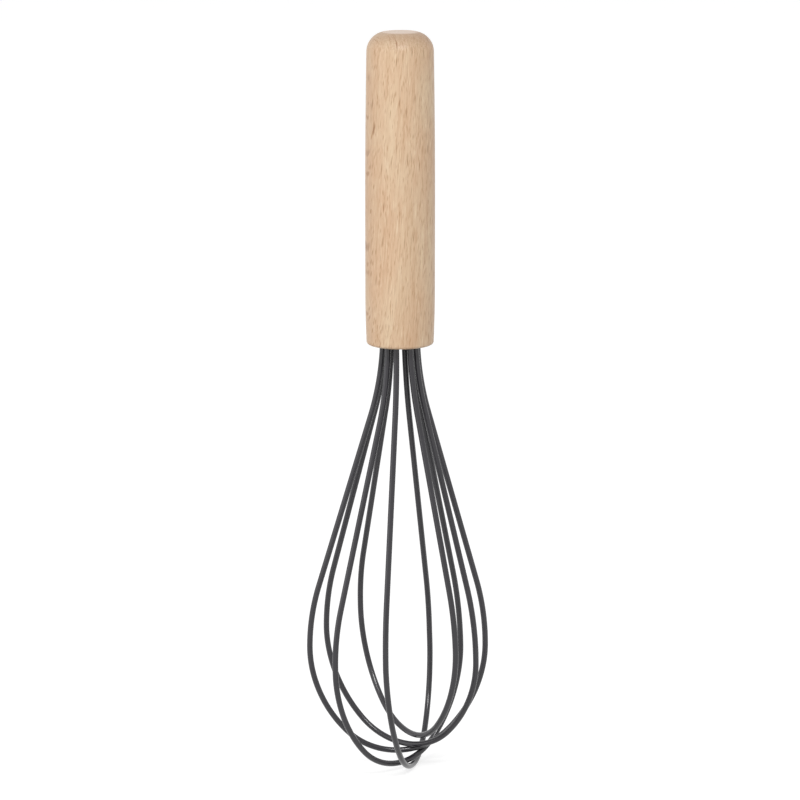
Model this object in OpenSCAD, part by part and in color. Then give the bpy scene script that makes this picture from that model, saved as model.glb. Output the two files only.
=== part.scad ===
// Silicone whisk: a turned beech handle, and five spring steel loops in silicone sleeves that cross
// at the tip, one below the other. The handle is up and the cage is below it, on the Z axis, and
// z = 0 is the lowest point of the cage. Loop 1 is the innermost and loop 5 the outermost.

/* [Handle] */
// Length of the wooden handle
handle_len = 114; // [95:0.5:160]
// Diameter of the straight stretch that the hand holds
grip_d = 25.3; // [24.6:0.1:34]
// Length of that straight stretch
grip_len = 30; // [15:1:40]
// Height of its lower end above the lower end of the handle
grip_low = 20; // [12:1:24]
// Diameter of the handle where its rounded top begins
handle_top_d = 24.3; // [20:0.1:25.2]
// Diameter of the handle just above its lower edge
handle_mouth_d = 24.5; // [22:0.1:25.2]
// Radius of the rounded top edge
top_round = 7.2; // [2:0.1:8]
// Radius of the rounded lower edge
mouth_round = 1.1; // [0.5:0.1:2.5]
// Diameter of the bore that holds the wires
bore_d = 15.2; // [14.8:0.1:17.5]
// Depth of that bore
bore_depth = 34; // [32:1:60]
// Width of the chamfer at the mouth of the bore
bore_chamfer = 0.5; // [0.2:0.1:1]

/* [Cage] */
// Width of the outermost loop, between the middles of its two sides
cage_w = 69.5; // [64:1:80]
// Depth of the innermost loop below the handle, at the middle of its coated wire
inner_depth = 147.7; // [135:1:160]
// Mean clear gap from one loop to the next at the tip
nest_gap = 0.85; // [0.85:0.05:3]
// Gap between each coated wire and the wall of the bore
wall_gap = 0.25; // [0.25:0.05:0.4]
// Height inside the bore at which the wires begin to spread
lead_in = 4; // [2:0.1:6]

/* [Coated wires] */
// Diameter over the silicone
strand_d = 2.15; // [1.6:0.05:2.2]
// Diameter of the spring steel wire inside it
wire_d = 1.2; // [0.8:0.05:1.4]
// Clearance all round the wire in its sleeve
sleeve_fit = 0.02; // [0.01:0.01:0.06]

/* [Holder and resin] */
// Length of the moulded holder that spaces the wires
holder_len = 12; // [8:1:14]
// Clearance round the holder, and round each coated wire in its slot
holder_fit = 0.1; // [0.05:0.01:0.12]
// Length of bare wire above the holder, cast in resin
bare_len = 12; // [6:1:13]
// Clearance between the resin and all that it is cast against
resin_fit = 0.02; // [0.01:0.01:0.05]

/* [Hidden] */
// Degrees that each loop's right side is turned towards the viewer, that each loop leans, and that
// its bowl leans further
turns = [57, 26.5, -5.5, -45, -76.5];
leans = [1.6, 1, 1, -1.2, -1.3];
bowl_leans = [-0.8, 1.7, 0.3, 1.5, -1.3];
// Depth of each loop below the innermost, as a share of the mean step
nest_shares = [0, 1.6, 2.43, 3.4, 3.95];
// Width of each loop as a share of the outermost one's
width_shares = [0.925, 0.89, 0.94, 0.94, 1];
// No loop is quite even. How far its lowest point lies to its right, and the middle between its two
// widest points, as shares of half the width of the outermost one
tip_shares = [0.06, 0.04, -0.01, -0.04, 0.08];
belly_shares = [0, -0.025, -0.02, -0.09, 0.04];
// The bowl of a loop, from its widest point to the tip: degrees turned by each arc, and the
// radius of each arc as a share of the last one's
bowl_turns = [12, 33, 45];
bowl_shares = [1.62, 1.82, 1];
// Steepness of the straight stretch over the mean slope of the neck, and the radius of the bend
// that leads into it over the height of the neck
flare_share = 1.29;
bend_share = 0.91;

loops = len(turns);
// The right side of a loop and its left side
sides = [1, -1];
strand_fn = 24;
turned_fn = 144;
// Steps in each gentle taper of the handle
taper_steps = 6;
// How far a cut runs past the face it opens
over = 0.5;
// Gap left between two steps of a wire, and the ring that closes it: its length, and how far it
// stands proud
seam = 0.05;
seam_len = 0.3;
seam_proud = 0.02;

bore_r = bore_d / 2;
strand_r = strand_d / 2;
ring_r = bore_r - wall_gap - strand_r;
nest_step = strand_d + nest_gap;
holder_top = lead_in + holder_len;
wire_top = holder_top + bare_len;

// Depth of loop k below the handle
function depth(k) = inner_depth + nest_step * nest_shares[k];

// A loop is drawn flat, from the height where its legs begin to spread. Each angle along it is
// measured from straight down, and it is positive where the wire runs outwards.
function sum(v, i = 0) = i < len(v) ? v[i] + sum(v, i + 1) : 0;
function bowl_angle(i) = i > 0 ? bowl_turns[i - 1] + bowl_angle(i - 1) : 0;
bowl_widths = [for (i = [0 : len(bowl_turns) - 1])
  bowl_shares[i] * (cos(bowl_angle(i)) - cos(bowl_angle(i + 1)))];
bowl_heights = [for (i = [0 : len(bowl_turns) - 1])
  bowl_shares[i] * (sin(bowl_angle(i + 1)) - sin(bowl_angle(i)))];

// How far the lowest point of loop k, and the middle between its widest points, lie to its right
function tip_x(k) = cage_w / 2 * tip_shares[k];
function belly_x(k) = cage_w / 2 * belly_shares[k];

// On one side of that lowest point: how far out the leg and the widest point lie, the radius at the
// tip, and the height and the spread of the neck
function leg_x(k, side) = ring_r - side * tip_x(k);
function half_w(k, side) = cage_w / 2 * width_shares[k] + side * (belly_x(k) - tip_x(k));
function tip_r(k, side) = half_w(k, side) / sum(bowl_widths);
function neck_h(k, side) = depth(k) + lead_in - tip_r(k, side) * sum(bowl_heights);
function neck_w(k, side) = half_w(k, side) - leg_x(k, side);

// Steepest angle of the neck, and the radius of the bend that leads into it
function flare(k, side) = flare_share * atan(neck_w(k, side) / neck_h(k, side));
function bend_r(k, side) = bend_share * neck_h(k, side);

// What is left of the neck below that bend is a straight run and a shoulder arc. These two lengths
// close it: run sin(flare) + shoulder (1 - cos(flare)) = width left, and
// run cos(flare) + shoulder sin(flare) = height left.
function left_w(k, side) = neck_w(k, side) - bend_r(k, side) * (1 - cos(flare(k, side)));
function left_h(k, side) = neck_h(k, side) - bend_r(k, side) * sin(flare(k, side));
function run_len(k, side) = left_w(k, side) / tan(flare(k, side) / 2) - left_h(k, side);
function shoulder_r(k, side) =
  (left_h(k, side) * sin(flare(k, side)) - left_w(k, side) * cos(flare(k, side)))
  / (1 - cos(flare(k, side)));

// The steps of one side of a loop: [radius of an arc, angle before it, angle after it], or
// [length of a straight, its angle] where the list has two entries
function neck_steps(k, side) = [
  [bend_r(k, side), 0, flare(k, side)],
  [run_len(k, side), flare(k, side)],
  [shoulder_r(k, side), flare(k, side), 0]
];
function bowl_steps(k, side) = [for (i = [0 : len(bowl_turns) - 1])
  [tip_r(k, side) * bowl_shares[i], -bowl_angle(i), -bowl_angle(i + 1)]];

// Where a step goes, as [outwards, upwards], and where step i of a list starts
function reach(s) = len(s) == 2
  ? s[0] * [sin(s[1]), -cos(s[1])]
  : s[0] * sign(s[2] - s[1]) * [cos(s[1]) - cos(s[2]), sin(s[1]) - sin(s[2])];
function start(list, first, i) = i > 0 ? start(list, first, i - 1) + reach(list[i - 1]) : first;

// The widest point of loop k on one side, its lowest point, and the directions along the line
// through its two widest points and square to it, all as [to the right, upwards]
function widest(k, side) = [tip_x(k) + side * half_w(k, side), -neck_h(k, side)];
function lowest(k) = [tip_x(k), -depth(k) - lead_in];
function along(k) = (widest(k, 1) - widest(k, -1)) / norm(widest(k, 1) - widest(k, -1));
function square_to(v) = [-v[1], v[0]];

// How far below the handle the lowest point comes, once the bowl has leaned about that line and the
// loop about the line where its legs spread
function tip_drop(k) =
  let (
    way = lowest(k) - widest(k, -1),
    out = way * square_to(along(k)),
    low = widest(k, -1) + (way * along(k)) * along(k) + out * cos(bowl_leans[k]) * square_to(along(k))
  )
  out * sin(bowl_leans[k]) * sin(leans[k]) - low[1] * cos(leans[k]) - lead_in;
mouth_z = max([for (k = [0 : loops - 1]) tip_drop(k)]) + strand_r;

// One step of the wire, d thick, from the point p. It stops short of the seam at each of its ends.
module step(p, s, d) {
  if (len(s) == 2) {
    translate([p[0], 0, p[1]]) rotate([0, 180 - s[1], 0])
      translate([0, 0, seam]) cylinder(d = d, h = s[0] - 2 * seam, $fn = strand_fn);
  } else {
    out = sign(s[2] - s[1]);
    centre = p + out * s[0] * [cos(s[1]), sin(s[1])];
    short = asin(seam / s[0]);
    translate([centre[0], 0, centre[1]]) rotate([90, 0, 0])
      rotate([0, 0, short + (out > 0 ? 180 + s[1] : s[2])])
      rotate_extrude(angle = abs(s[2] - s[1]) - 2 * short, $fn = turned_fn)
      translate([s[0], 0]) circle(d = d, $fn = strand_fn);
  }
}

// A short ring that closes the seam between two steps of a wire d thick, proud of it by a hair.
// It lies at the point p, where the wire runs at the angle a.
module seam_ring(p, a, d) {
  translate([p[0], 0, p[1]]) rotate([0, -a, 0])
    cylinder(d = d + 2 * seam_proud, h = seam_len, center = true, $fn = strand_fn);
}

// A list of steps, d thick, from the point first, with a ring where each of them starts
module run(list, first, d) {
  for (i = [0 : len(list) - 1]) {
    seam_ring(start(list, first, i), list[i][1], d);
    step(start(list, first, i), list[i], d);
  }
}

// Sets what is drawn outwards from the lowest point of loop k on one side of it
module on_side(k, side) {
  translate([tip_x(k), 0, 0]) mirror([(1 - side) / 2, 0, 0]) children();
}

// Leans the bowl of the flat loop k about the line through its two widest points
module leaned_bowl(k) {
  pivot = widest(k, -1);
  axis = along(k);
  translate([pivot[0], 0, pivot[1]]) rotate(bowl_leans[k], [axis[0], 0, axis[1]])
    translate([-pivot[0], 0, -pivot[1]]) children();
}

// Loop k, d thick, with its legs running up to the height top above the handle's lower end
module flat_loop(k, d, top) {
  for (side = sides) on_side(k, side) {
    translate([leg_x(k, side), 0, seam]) cylinder(d = d, h = top - lead_in - seam, $fn = strand_fn);
    run(neck_steps(k, side), [leg_x(k, side), 0], d);
  }
  leaned_bowl(k) {
    for (side = sides) on_side(k, side)
      run(bowl_steps(k, side), [half_w(k, side), -neck_h(k, side)], d);
    seam_ring(lowest(k), -bowl_angle(len(bowl_turns)), d);
  }
}

// Sets a flat loop in its place round the axis, leaning about the line where its legs spread
module placed(k) {
  translate([0, 0, mouth_z + lead_in]) rotate([0, 0, -turns[k]]) rotate([leans[k], 0, 0]) children();
}

// The two legs of loop k, d thick, from the height low to the height high
module legs(k, d, low, high) {
  placed(k) for (side = sides) on_side(k, side)
    translate([leg_x(k, side), 0, low - lead_in]) cylinder(d = d, h = high - low, $fn = strand_fn);
}

// A quarter of a disc, for the round edges of the handle's outline
module round_edge(r) {
  intersection() {
    circle(r, $fn = turned_fn);
    square(r);
  }
}

// Radius along a taper that leaves the straight grip smoothly, a share of the way to the end radius
function tapered(end_r, share) = grip_d / 2 - (grip_d / 2 - end_r) * share * share;

// Right half of the turned outline of the handle, with its lower end at zero
module handle_outline() {
  top_r = handle_top_d / 2;
  mouth_r = handle_mouth_d / 2;
  top_z = handle_len - top_round;
  grip_high = grip_low + grip_len;
  polygon(concat(
    [[0, mouth_round]],
    [for (i = [taper_steps : -1 : 0])
      [tapered(mouth_r, i / taper_steps), grip_low - (grip_low - mouth_round) * i / taper_steps]],
    [for (i = [0 : taper_steps])
      [tapered(top_r, i / taper_steps), grip_high + (top_z - grip_high) * i / taper_steps]],
    [[0, top_z]]
  ));
  translate([0, top_z]) square([top_r - top_round, top_round]);
  translate([top_r - top_round, top_z]) round_edge(top_round);
  square([mouth_r - mouth_round, mouth_round]);
  translate([mouth_r - mouth_round, mouth_round]) mirror([0, 1, 0]) round_edge(mouth_round);
}

// Turned beech handle with a blind bore for the wires
module handle() {
  color("burlywood") translate([0, 0, mouth_z]) difference() {
    rotate_extrude($fn = turned_fn) handle_outline();
    rotate_extrude($fn = turned_fn) polygon([
      [0, -over], [bore_r + bore_chamfer + over, -over], [bore_r, bore_chamfer],
      [bore_r, bore_depth], [0, bore_depth]
    ]);
  }
}

// Moulded holder in the bore, with a slot that opens outwards for each coated wire
module wire_holder() {
  slot_w = strand_d + 2 * holder_fit;
  color("gainsboro") difference() {
    translate([0, 0, mouth_z + lead_in]) cylinder(r = bore_r - holder_fit, h = holder_len, $fn = turned_fn);
    for (k = [0 : loops - 1]) {
      legs(k, slot_w, lead_in - over, holder_top + over);
      placed(k) for (side = sides) on_side(k, side)
        translate([leg_x(k, side), -slot_w / 2, -over]) cube([bore_r, slot_w, holder_len + 2 * over]);
    }
  }
}

// Resin cast in the blind end of the bore, round the bare ends of the wires
module resin_fill() {
  low = holder_top + resin_fit;
  color("khaki") difference() {
    translate([0, 0, mouth_z + low])
      cylinder(r = bore_r - resin_fit, h = bore_depth - resin_fit - low, $fn = turned_fn);
    for (k = [0 : loops - 1]) legs(k, wire_d + 2 * resin_fit, low - over, wire_top + resin_fit);
  }
}

// Spring steel wire of loop k
module wire(k) {
  color("silver") placed(k) flat_loop(k, wire_d, wire_top);
}

// Silicone sleeve of loop k, which ends at the top of the holder
module silicone_sleeve(k) {
  color("dimgray") placed(k) difference() {
    flat_loop(k, strand_d, holder_top);
    flat_loop(k, wire_d + 2 * sleeve_fit, holder_top + over);
  }
}

wire_names = [for (k = [1 : loops]) str("wire_", k)];
sleeve_names = [for (k = [1 : loops]) str("silicone_sleeve_", k)];

handle();
wire_holder();
resin_fill();
for (k = [0 : loops - 1]) {
  wire(k);
  silicone_sleeve(k);
}
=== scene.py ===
import math

import bpy
import numpy as np
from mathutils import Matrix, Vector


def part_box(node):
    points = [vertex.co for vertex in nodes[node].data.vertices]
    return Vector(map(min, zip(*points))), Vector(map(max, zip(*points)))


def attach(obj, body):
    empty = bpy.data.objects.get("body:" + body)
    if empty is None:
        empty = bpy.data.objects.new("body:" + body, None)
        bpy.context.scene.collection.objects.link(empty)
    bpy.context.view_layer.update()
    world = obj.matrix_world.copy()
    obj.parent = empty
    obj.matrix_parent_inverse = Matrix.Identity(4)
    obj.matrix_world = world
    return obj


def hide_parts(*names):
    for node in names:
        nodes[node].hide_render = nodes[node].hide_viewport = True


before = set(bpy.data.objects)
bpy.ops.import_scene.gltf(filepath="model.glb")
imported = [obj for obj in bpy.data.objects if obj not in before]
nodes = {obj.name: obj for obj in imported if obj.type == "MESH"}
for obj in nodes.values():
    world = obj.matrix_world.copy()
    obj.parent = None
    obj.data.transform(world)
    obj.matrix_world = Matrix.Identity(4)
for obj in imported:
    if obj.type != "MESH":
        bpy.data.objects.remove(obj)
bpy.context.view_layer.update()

# Spring wires: five lengths of bright drawn spring steel, each bent to one loop of the cage. Their
# bare ends are cast into the handle, and the rest of each runs inside its silicone sleeve.


def screen(red, green, blue):
    """A colour given as a screen shows it, 0 to 255, as the light that it stands for."""
    part = np.array([red, green, blue]) / 255
    light = np.where(part < 0.04045, part / 12.92, ((part + 0.055) / 1.055) ** 2.4)
    return (*light.tolist(), 1.0)


def new_finish(name, settings):
    """A finish on the standard shader, with these values on the shader's own sockets."""
    made = bpy.data.materials.new(name)
    made.use_nodes = True
    shader = made.node_tree.nodes["Principled BSDF"]
    for socket, value in settings.items():
        shader.inputs[socket].default_value = value
    return made, shader


def put(made, kind, feeds=None, **settings):
    """One node of a finish. Each entry of feeds is a value, or the output that feeds the socket."""
    node = made.node_tree.nodes.new("ShaderNode" + kind)
    for name, value in settings.items():
        setattr(node, name, value)
    for socket, value in (feeds or {}).items():
        if isinstance(value, bpy.types.NodeSocket):
            made.node_tree.links.new(value, node.inputs[socket])
        else:
            node.inputs[socket].default_value = value
    return node


def feed(made, output, shader, socket):
    """Leads an output to a socket of the shader."""
    made.node_tree.links.new(output, shader.inputs[socket])


def stretched(made, place, repeats, shift=(0.0, 0.0, 0.0), turn=(0.0, 0.0, 0.0)):
    """A place that is shifted, turned and counted in repeats per metre along X, Y and Z."""
    feeds = {"Vector": place, "Location": shift, "Rotation": turn, "Scale": repeats}
    return put(made, "Mapping", feeds).outputs[0]


def noise(made, place, detail=2.0, roughness=0.5):
    """Soft noise, one swell for each unit of place, from 0 to 1."""
    feeds = {"Vector": place, "Scale": 1.0, "Detail": detail, "Roughness": roughness}
    return put(made, "TexNoise", feeds).outputs["Fac"]


def ramp(made, fac, start, end, low=0.0, high=1.0):
    """Runs smoothly from low to high while fac runs from start to end, and stays flat beyond."""
    feeds = {"Value": fac, "From Min": start, "From Max": end, "To Min": low, "To Max": high}
    return put(made, "MapRange", feeds, interpolation_type="SMOOTHSTEP").outputs[0]


def tinted(made, fac, first, second, way="MIX"):
    """The first colour, changed to or by the second as fac goes from 0 to 1."""
    feeds = {0: fac, 6: first, 7: second}
    return put(made, "Mix", feeds, data_type="RGBA", blend_type=way).outputs[2]


def relief(made, height, strength, depth, shader, sunk=False):
    """Bumps as high as depth, in metres, where height is 1, or dents as deep when sunk."""
    feeds = {"Height": height, "Strength": strength, "Distance": depth}
    feed(made, put(made, "Bump", feeds, invert=sunk).outputs[0], shader, "Normal")


def dress(node, made):
    """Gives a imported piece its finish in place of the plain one."""
    node.data.materials.clear()
    node.data.materials.append(made)


drawn_steel, shader = new_finish("drawn_spring_steel", {"Metallic": 1.0})
place = put(drawn_steel, "TexCoord").outputs["Object"]
draw_lines = noise(drawn_steel, stretched(drawn_steel, place, (9000, 9000, 500)), 3.0)
cloud = noise(drawn_steel, stretched(drawn_steel, place, (300, 300, 60)))
tone = tinted(drawn_steel, cloud, screen(194, 196, 200), screen(224, 224, 222))
feed(drawn_steel, tone, shader, "Base Color")
feed(drawn_steel, ramp(drawn_steel, draw_lines, 0.3, 0.7, 0.22, 0.4), shader, "Roughness")
relief(drawn_steel, draw_lines, 0.2, 0.00001, shader)
for loop in range(1, 6):
    dress(nodes[f"wire_{loop}"], drawn_steel)

# Silicone sleeves: charcoal silicone moulded round each wire, one sleeve to a loop. The sleeves run
# side by side out of the handle, swell into the bowl and cross below one another at the tip.
loop_turns = [57, 26.5, -5.5, -45, -76.5]
loop_leans = [1.6, 1, 1, -1.2, -1.3]
bowl_leans = [-0.8, 1.7, 0.3, 1.5, -1.3]
inner_depth = 0.1477
nest_step = 0.003
cage_half_width = 0.03475
loop_depths = inner_depth + nest_step * np.array([0, 1.6, 2.43, 3.4, 3.95])
loop_widths = cage_half_width * np.array([0.925, 0.89, 0.94, 0.94, 1])
tip_shifts = cage_half_width * np.array([0.06, 0.04, -0.01, -0.04, 0.08])
belly_shifts = cage_half_width * np.array([0, -0.025, -0.02, -0.09, 0.04])
bowl_angles = np.radians([0, 12, 45, 90])
bowl_radii = np.array([1.62, 1.82, 1])
flare_share = 1.29
bend_share = 0.91
lead_in = 0.004
leg_radius = 0.006275
leg_top = 0.012
leg_points = 16
arc_points = 8
point_gap = 0.0008
spread_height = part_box("handle")[0].z + lead_in
sleeve_radius = 0.001075
sleeve_bore = 0.00062
sleeve_rounds = 28


def half_loop(depth, width, leg):
    """Middle line of one side of a flat loop out from its lowest point, and the angle it runs at.

    It is a chain of steps that run on smoothly: the leg, a bend outwards, a straight stretch, a
    shoulder and the three arcs of the bowl. With angles h from straight down, an arc of radius R
    from the angle a lies at R (cos a - cos h) outwards and R (sin h - sin a) down when it bends
    outwards, and at minus both when it bends inwards. Straight stretches follow (sin h, cos h).
    """
    out_shares = bowl_radii * (np.cos(bowl_angles[:-1]) - np.cos(bowl_angles[1:]))
    down_shares = bowl_radii * (np.sin(bowl_angles[1:]) - np.sin(bowl_angles[:-1]))
    tip_radius = width / out_shares.sum()
    neck_out = width - leg
    neck_down = depth + lead_in - tip_radius * down_shares.sum()
    flare = flare_share * math.atan(neck_out / neck_down)
    bend = bend_share * neck_down
    left_out = neck_out - bend * (1 - math.cos(flare))
    left_down = neck_down - bend * math.sin(flare)
    run = left_out / math.tan(flare / 2) - left_down
    shoulder = (left_down * math.sin(flare) - left_out * math.cos(flare)) / (1 - math.cos(flare))
    arcs = [(bend, 0, flare), (run, flare, flare), (shoulder, flare, 0)]
    arcs += list(zip(tip_radius * bowl_radii, -bowl_angles[:-1], -bowl_angles[1:]))
    end = np.array([leg, 0.0])
    leg_heights = np.linspace(leg_top, 0, leg_points, False)
    lines = [np.stack([np.full(leg_points, leg), leg_heights], 1)]
    angles = [np.zeros(leg_points)]
    for size, a, b in arcs:
        length = size * abs(b - a) if b != a else size
        t = np.linspace(0, 1, max(arc_points, round(length / point_gap)), False)
        h = a + (b - a) * t
        if b == a:
            step = size * t[:, None] * [math.sin(a), -math.cos(a)]
            whole = size * np.array([math.sin(a), -math.cos(a)])
        else:
            bent = size * np.sign(b - a)
            step = bent * np.stack([math.cos(a) - np.cos(h), math.sin(a) - np.sin(h)], 1)
            whole = bent * np.array([math.cos(a) - math.cos(b), math.sin(a) - math.sin(b)])
        lines.append(end + step)
        angles.append(h)
        end = end + whole
    lines.append(end[None])
    angles.append([-math.pi / 2])
    widest = sum(len(part) for part in lines[:4])
    return np.vstack(lines), np.concatenate(angles), widest


def rotation(axis, degrees):
    """The turn by t about the unit axis a: cos t I + sin t [a]x + (1 - cos t) a a^T."""
    x, y, z = axis
    t = math.radians(degrees)
    crossing = np.array([[0, -z, y], [z, 0, -x], [-y, x, 0]])
    along_axis = (1 - math.cos(t)) * np.outer(axis, axis)
    return math.cos(t) * np.eye(3) + math.sin(t) * crossing + along_axis


def whole_loop(loop):
    """Middle line of a loop in its place, the two directions across it, and the length along it.

    The two sides meet at the lowest point, which lies a little off the axis, as does the middle of
    the bowl. The bowl leans about the line through its two widest points. Then the flat loop leans
    about X, turns about Z and is lifted to where the legs spread. One direction across is the
    loop's own level, the other is square to it.
    """
    tip, off = tip_shifts[loop], belly_shifts[loop] - tip_shifts[loop]
    depth, width = loop_depths[loop], loop_widths[loop]
    right, h, bowl_start = half_loop(depth, width + off, leg_radius - tip)
    left, g, bowl_end = half_loop(depth, width - off, leg_radius + tip)
    x = tip + np.concatenate([right[:, 0], -left[-2::-1, 0]])
    z = np.concatenate([right[:, 1], left[-2::-1, 1]])
    way = np.concatenate([h, -math.pi - g[-2::-1]])
    flat = np.stack([x, 0 * x, z], 1)
    inward = np.stack([np.cos(way), 0 * x, np.sin(way)], 1)
    square = np.array([[0.0, 1.0, 0.0]]).repeat(len(x), 0)
    along = np.concatenate([[0], np.cumsum(np.linalg.norm(np.diff(flat, axis=0), axis=1))])
    bowl = slice(bowl_start, len(x) - bowl_end)
    pivot = flat[-1 - bowl_end]
    hinge = flat[bowl_start] - pivot
    leaned = rotation(hinge / np.linalg.norm(hinge), bowl_leans[loop]).T
    flat[bowl] = (flat[bowl] - pivot) @ leaned + pivot
    inward[bowl] = inward[bowl] @ leaned
    square[bowl] = square[bowl] @ leaned
    placed = (rotation((0, 0, 1), -loop_turns[loop]) @ rotation((1, 0, 0), loop_leans[loop])).T
    return flat @ placed + [0, 0, spread_height], inward @ placed, square @ placed, along


def finished(name, points, faces, made):
    """A piece of these points and faces, smooth, with its finish, where it stands on the whisk."""
    mesh = bpy.data.meshes.new(name)
    mesh.from_pydata(points.tolist(), [], faces)
    mesh.polygons.foreach_set("use_smooth", np.ones(len(faces), bool))
    mesh.materials.append(made)
    piece = bpy.data.objects.new(name, mesh)
    bpy.context.scene.collection.objects.link(piece)
    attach(piece, "root")
    return piece


def sleeve(loop, made):
    """A tube round the line of a loop, out along its skin and back along its bore.

    Its points are line + r (cos f across + sin f square), with f going once round. Here r is the
    sleeve's radius on the way out and its bore's on the way back, so the tube closes on itself both
    ways. Its UV map has the length along the loop and the share of the way round.
    """
    line, across, square, along = whole_loop(loop)
    f = np.linspace(0, 2 * math.pi, sleeve_rounds, False)[None, :, None]
    ring = np.cos(f) * across[:, None] + np.sin(f) * square[:, None]
    skin = line[:, None] + sleeve_radius * ring
    bore = (line[:, None] + sleeve_bore * ring)[::-1]
    grid = np.concatenate([skin, bore])
    rows = len(grid)
    i, j = np.meshgrid(np.arange(rows), np.arange(sleeve_rounds), indexing="ij")
    i, j = i.ravel(), j.ravel()
    here, below = i * sleeve_rounds, (i + 1) % rows * sleeve_rounds
    beside = (j + 1) % sleeve_rounds
    faces = np.stack([here + j, here + beside, below + beside, below + j], 1)
    points = grid.reshape(-1, 3)
    piece = finished(f"sleeve_of_loop_{loop + 1}", points, faces.tolist(), made)
    length = np.concatenate([along, along[::-1]])
    u = np.stack([length[i], length[i], length[(i + 1) % rows], length[(i + 1) % rows]], 1)
    v = np.stack([j, j + 1, j + 1, j], 1) / sleeve_rounds
    layer = piece.data.uv_layers.new(name="UVMap")
    layer.data.foreach_set("uv", np.stack([u, v], -1).astype(np.float32).ravel())
    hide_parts(f"silicone_sleeve_{loop + 1}")


def worked(made, way, first, second):
    """Two values, added or multiplied."""
    return put(made, "Math", {0: first, 1: second}, operation=way).outputs[0]


silicone, shader = new_finish("charcoal_silicone", {"IOR": 1.43, "Specular IOR Level": 0.7})
place = put(silicone, "TexCoord").outputs["Object"]
around = put(silicone, "UVMap").outputs["UV"]
bloom = noise(silicone, stretched(silicone, place, (90, 90, 45)), 3.0)
grain = noise(silicone, stretched(silicone, place, (3500, 3500, 3500)), 3.0, 0.6)
pull_lines = noise(silicone, stretched(silicone, around, (160, 14, 1)), 2.0)
flecks = ramp(silicone, grain, 0.62, 0.8, 0.0, 0.25)
tone = tinted(silicone, ramp(silicone, bloom, 0.3, 0.7), screen(43, 41, 46), screen(52, 50, 55))
feed(silicone, tinted(silicone, flecks, tone, screen(104, 102, 106)), shader, "Base Color")
feed(silicone, ramp(silicone, pull_lines, 0.25, 0.75, 0.13, 0.2), shader, "Roughness")
relief(silicone, worked(silicone, "ADD", grain, pull_lines), 0.06, 0.00002, shader)
for loop in range(5):
    sleeve(loop, silicone)

# Wire holder: a plug of moulded dark nylon in the bore of the handle. Its open slots space the ten
# sleeves on a circle while the resin behind it sets.
nylon, shader = new_finish("moulded_nylon", {"IOR": 1.52})
place = put(nylon, "TexCoord").outputs["Object"]
fine = noise(nylon, stretched(nylon, place, (4200, 4200, 4200)), 2.0)
flow = noise(nylon, stretched(nylon, place, (260, 260, 90)), 3.0)
feed(nylon, tinted(nylon, flow, screen(50, 50, 53), screen(64, 63, 66)), shader, "Base Color")
feed(nylon, ramp(nylon, fine, 0.3, 0.7, 0.5, 0.7), shader, "Roughness")
relief(nylon, fine, 0.3, 0.00003, shader)
dress(nodes["wire_holder"], nylon)

# Resin: amber epoxy poured into the blind end of the bore, round the bare ends of the wires. It
# grips them and the holder for good.


def cells(made, place):
    """Cells, one for each unit of place: the distance to the next middle, and a colour to each."""
    return put(made, "TexVoronoi", {"Vector": place, "Scale": 1.0}).outputs


resin, shader = new_finish("amber_epoxy", {"IOR": 1.55})
place = put(resin, "TexCoord").outputs["Object"]
swirl = noise(resin, stretched(resin, place, (220, 220, 120)), 3.0)
bubbles = cells(resin, stretched(resin, place, (900, 900, 900)))
clear = ramp(resin, bubbles["Distance"], 0.06, 0.14)
amber = tinted(resin, swirl, screen(196, 160, 92), screen(222, 196, 140))
feed(resin, tinted(resin, clear, screen(236, 220, 184), amber), shader, "Base Color")
feed(resin, ramp(resin, swirl, 0.3, 0.7, 0.12, 0.25), shader, "Roughness")
relief(resin, clear, 0.4, 0.00005, shader)
dress(nodes["resin_fill"], resin)

# Handle: one piece of steamed beech, turned, bored from below, sanded and oiled. Its sides are all
# but straight, its top is rounded over to a small flat and its lower edge is just eased.
handle_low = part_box("handle")[0].z
handle_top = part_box("handle")[1].z
grip_radius = 0.01265
top_radius = 0.01215
mouth_radius = 0.01225
top_round = 0.0072
mouth_round = 0.0011
grip_low = handle_low + 0.020
grip_high = handle_low + 0.050
bore_radius = 0.0076
bore_depth = 0.034
chamfer = 0.0005
edge_points = 24
taper_points = 90
grip_points = 24
flat_points = 8
rim_points = 6
bore_points = 16
handle_rounds = 160
sharp_angle = math.radians(35)


def handle_profile():
    """Outline of the turned handle from the middle of its top, down its side and up its bore.

    The top edge and the lower edge are quarter circles. A taper's radius falls from the grip's with
    the square of the way along it, so it leaves the straight grip smoothly. The lower taper has a
    quarter of the upper one's points.
    """
    quarter = np.linspace(0, math.pi / 2, edge_points)
    way = np.linspace(0, 1, taper_points)[1:-1]
    low_way = way[::4]
    straight = np.linspace(grip_high, grip_low, grip_points)
    flat = np.linspace(0, top_radius - top_round, flat_points)[:-1]
    rim = np.linspace(mouth_radius - mouth_round, bore_radius + chamfer, rim_points)[1:]
    bore = np.linspace(chamfer, bore_depth, bore_points)
    end = np.linspace(bore_radius, 0, flat_points)[1:]
    shoulder = handle_top - top_round
    foot = handle_low + mouth_round
    radius = np.concatenate([
        flat,
        top_radius - top_round + top_round * np.sin(quarter),
        grip_radius - (grip_radius - top_radius) * (1 - way) ** 2,
        np.full(len(straight), grip_radius),
        grip_radius - (grip_radius - mouth_radius) * low_way ** 2,
        mouth_radius - mouth_round + mouth_round * np.cos(quarter),
        rim,
        np.full(len(bore), bore_radius),
        end])
    height = np.concatenate([
        np.full(len(flat), handle_top),
        shoulder + top_round * np.cos(quarter),
        shoulder + (grip_high - shoulder) * way,
        straight,
        grip_low + (foot - grip_low) * low_way,
        foot - mouth_round * np.sin(quarter),
        np.full(len(rim), handle_low),
        handle_low + bore,
        np.full(len(end), handle_low + bore_depth)])
    return radius, height


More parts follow.
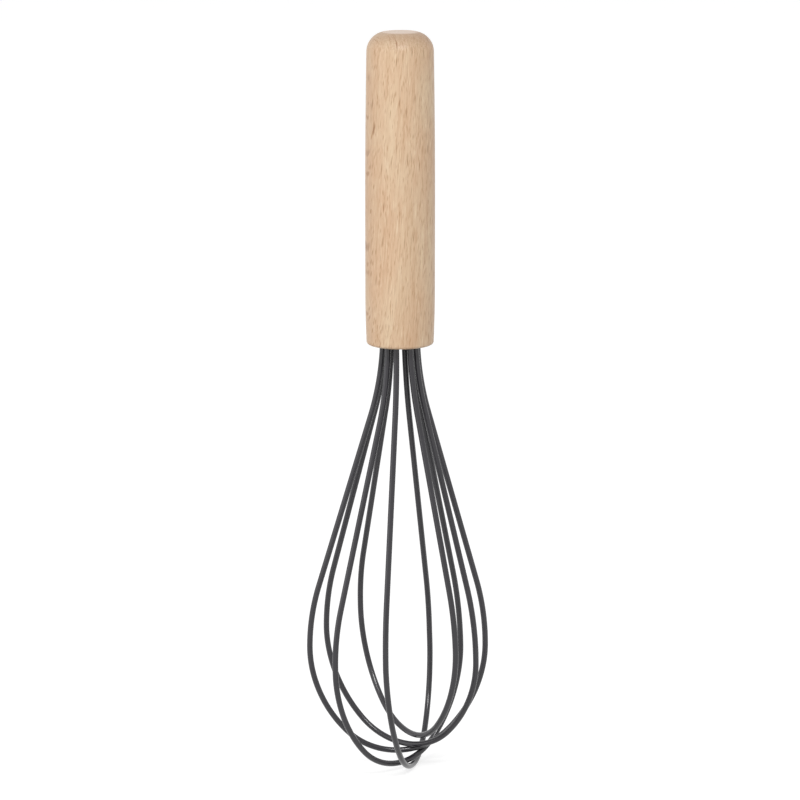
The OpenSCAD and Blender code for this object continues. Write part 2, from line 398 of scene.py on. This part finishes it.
def turned(name, radius, height, made):
    """A solid turned about Z: its points are (r cos f, r sin f, z) for the outline's r and z.

    The outline starts and ends on the axis, where one point closes each pole with triangles.
    """
    f = np.linspace(0, 2 * math.pi, handle_rounds, False)
    r, z = radius[1:-1, None], height[1:-1, None]
    grid = np.stack([r * np.cos(f), r * np.sin(f), z + 0 * f], -1).reshape(-1, 3)
    points = np.concatenate([grid, [[0, 0, height[0]], [0, 0, height[-1]]]])
    i, j = np.meshgrid(np.arange(len(r) - 1), np.arange(handle_rounds), indexing="ij")
    here, j = i.ravel() * handle_rounds, j.ravel()
    below, beside = here + handle_rounds, (j + 1) % handle_rounds
    quads = np.stack([here + j, below + j, below + beside, here + beside], 1)
    ring = np.arange(handle_rounds)
    after = (ring + 1) % handle_rounds
    last = (len(r) - 1) * handle_rounds
    top = np.stack([np.full(handle_rounds, len(grid)), ring, after], 1)
    end = np.stack([np.full(handle_rounds, len(grid) + 1), last + after, last + ring], 1)
    faces = quads.tolist() + top.tolist() + end.tolist()
    piece = finished(name, points, faces, made)
    piece.data.set_sharp_from_angle(angle=sharp_angle)
    return piece


def moved(made, way, first, second):
    """Two places, added, subtracted or multiplied number by number."""
    return put(made, "VectorMath", {0: first, 1: second}, operation=way).outputs[0]


sway_reach = (0.002, 0.002, 0.0)
beech, shader = new_finish("oiled_beech", {"IOR": 1.46})
place = put(beech, "TexCoord").outputs["Object"]
sway_feeds = {"Vector": stretched(beech, place, (60, 60, 14)), "Scale": 1.0, "Detail": 2.0}
sway = put(beech, "TexNoise", sway_feeds).outputs["Color"]
sway = moved(beech, "SUBTRACT", sway, (0.5, 0.5, 0.5))
sway = moved(beech, "MULTIPLY", sway, sway_reach)
wood = moved(beech, "ADD", place, sway)

# The grain leans a little to the right, and the heart of the log lay behind and to the left. Y now
# runs from the bark to the heart.
log_turn = (0, math.radians(-4), math.radians(-20))
log = stretched(beech, wood, (1, 1, 1), turn=log_turn)
rings_feeds = {"Vector": stretched(beech, log, (1, 1, 1), (0.004, -0.07, 0)), "Scale": 130.0,
               "Distortion": 1.5, "Detail": 2.0, "Detail Scale": 0.4}
rings = put(beech, "TexWave", rings_feeds, wave_type="RINGS", rings_direction="Z",
            wave_profile="SIN").outputs["Fac"]


def spindles(place, wide, narrow, rare, common):
    """Marks of wood rays: full within narrow of a cell's middle, fading out to wide.

    Each cell has a number from 0 to 1: below rare it shows no mark, and at common a whole one.
    """
    ray = cells(beech, place)
    number = put(beech, "SeparateColor", {"Color": ray["Color"]}).outputs[0]
    mark = ramp(beech, ray["Distance"], wide, narrow)
    return worked(beech, "MULTIPLY", mark, ramp(beech, number, rare, common))


# Rays: thin ribbons of darker cells that run out from the heart. They show as short dark spindles
# where they are cut across, and as broad darker flakes where they are cut along, on the two sides.
large_rays = spindles(stretched(beech, log, (1500, 70, 120)), 0.36, 0.08, 0.55, 1.0)
small_places = stretched(beech, log, (3400, 140, 300), (0.3, 0.2, 0.1))
small_rays = spindles(small_places, 0.46, 0.1, 0.3, 0.9)

# Pores: fine short streaks along the grain, over slow drifts of colour
pores = noise(beech, stretched(beech, log, (3600, 3600, 130)), 3.0, 0.6)
streaks = noise(beech, stretched(beech, log, (700, 400, 22)), 3.0, 0.55)
patches = noise(beech, stretched(beech, log, (110, 60, 30)), 3.0, 0.5)

tone = tinted(beech, ramp(beech, patches, 0.3, 0.7), screen(226, 189, 154), screen(234, 206, 172))
for marks, colour in (
        (ramp(beech, streaks, 0.4, 0.75, 0.0, 0.6), screen(218, 180, 145)),
        (ramp(beech, rings, 0.6, 1.0, 0.0, 0.16), screen(206, 166, 128)),
        (ramp(beech, pores, 0.53, 0.74, 0.0, 0.75), screen(192, 146, 108)),
        (ramp(beech, pores, 0.47, 0.28, 0.0, 0.7), screen(248, 226, 196)),
        (small_rays, screen(194, 150, 112)),
        (large_rays, screen(174, 130, 94))):
    tone = tinted(beech, marks, tone, colour)

# The rounded top is darker than the sides: painted shade, in part the darker oiled end grain. The
# small flat on it is painted pale, a painted reflection of the pale surround on its face.
shade_and_end_grain_depth = 0.008
flat_reflection_depth = 0.0003
flat_reflection_skin = 0.00001
height_up = put(beech, "SeparateXYZ", {"Vector": place}).outputs["Z"]
shade_and_end_grain = ramp(beech, height_up, handle_top - shade_and_end_grain_depth, handle_top)
painted_flat_reflection = ramp(beech, height_up, handle_top - flat_reflection_depth, handle_top - flat_reflection_skin, 0.0, 0.7)
# Painted shade darkens the rounded top, together with the darker end grain
tone = tinted(beech, shade_and_end_grain, tone, (0.64, 0.62, 0.62, 1), "MULTIPLY")
# Painted reflection: the small flat on top is made pale
tone = tinted(beech, painted_flat_reflection, tone, screen(226, 206, 190))
feed(beech, tone, shader, "Base Color")
feed(beech, ramp(beech, pores, 0.3, 0.7, 0.36, 0.5), shader, "Roughness")
relief(beech, worked(beech, "ADD", pores, large_rays), 0.35, 0.00003, shader, sunk=True)
radius, height = handle_profile()
handle = turned("turned_handle", radius, height, beech)
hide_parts("handle")

# Studio: a wide white floor under the whisk, a wide soft lamp high up in front, a large one to the
# left, and a pale surround, brighter on the left, that fills the shade.
floor_reach = 9.0
floor_drop = 0.0002
floor_grey = 0.45
floor_glow = 0.73
left_sky = 0.75
right_sky = 0.42


def shows(made):
    """1 for a ray that shows the studio, from the camera or by way of gloss or glass, and else 0."""
    rays = put(made, "LightPath").outputs
    shown = worked(made, "ADD", rays["Is Camera Ray"], rays["Is Glossy Ray"])
    return worked(made, "ADD", shown, rays["Is Transmission Ray"])


corners = floor_reach * np.array([[-1, -1, 0], [1, -1, 0], [1, 1, 0], [-1, 1, 0]])
mesh = bpy.data.meshes.new("studio_floor")
mesh.from_pydata((corners - [0, 0, floor_drop]).tolist(), [], [[0, 1, 2, 3]])
floor = bpy.data.objects.new("studio_floor", mesh)
bpy.context.scene.collection.objects.link(floor)
white = bpy.data.materials.new("white_floor")
white.use_nodes = True
tree = white.node_tree
tree.nodes.remove(tree.nodes["Principled BSDF"])
glow = worked(white, "MULTIPLY", shows(white), floor_glow)
matt = put(white, "BsdfDiffuse", {"Color": (floor_grey, floor_grey, floor_grey, 1)})
lift = put(white, "Emission", {"Color": (1, 1, 1, 1), "Strength": glow})
both = put(white, "AddShader", {0: matt.outputs[0], 1: lift.outputs[0]})
tree.links.new(both.outputs[0], tree.nodes["Material Output"].inputs["Surface"])
mesh.materials.append(white)

surround = bpy.data.worlds.new("pale_surround")
surround.use_nodes = True
bpy.context.scene.world = surround
direction = put(surround, "TexCoord").outputs["Generated"]
rightwards = put(surround, "SeparateXYZ", {"Vector": direction}).outputs["X"]
fill = ramp(surround, rightwards, -1.0, 1.0, left_sky, right_sky)
sky = surround.node_tree.nodes["Background"]
sky.inputs["Color"].default_value = (1, 1, 1, 1)
feed(surround, ramp(surround, shows(surround), 0.0, 1.0, fill, 1.0), sky, "Strength")


def lamp(name, place, width, height, power, aim):
    """A soft lamp of this width and height that faces the point aim."""
    light = bpy.data.lights.new(name, "AREA")
    light.shape = "RECTANGLE"
    light.size = width
    light.size_y = height
    light.energy = power
    hung = bpy.data.objects.new(name, light)
    bpy.context.scene.collection.objects.link(hung)
    hung.location = place
    hung.rotation_euler = (Vector(aim) - Vector(place)).to_track_quat("-Z", "Y").to_euler()


whisk_middle = (0, 0, 0.15)
lamp("key_lamp", (0.14, -1.12, 1.28), width=0.8, height=0.22, power=11.0, aim=whisk_middle)
lamp("side_lamp", (-1.55, -0.85, 0.6), width=1.6, height=1.6, power=6.8, aim=whisk_middle)

# Camera: a long lens 1.4 m in front of the whisk and above its top, looking slightly down at it
view = bpy.data.cameras.new("camera")
view.lens = 176.64
view.sensor_width = 36.0
view.clip_end = 50.0
camera = bpy.data.objects.new("camera", view)
bpy.context.scene.collection.objects.link(camera)
camera.location = (-0.000045, -1.4058, 0.4291)
camera.rotation_euler = (math.radians(78.363), 0, 0)
bpy.context.scene.camera = camera
bpy.context.scene.view_settings.view_transform = "Standard"
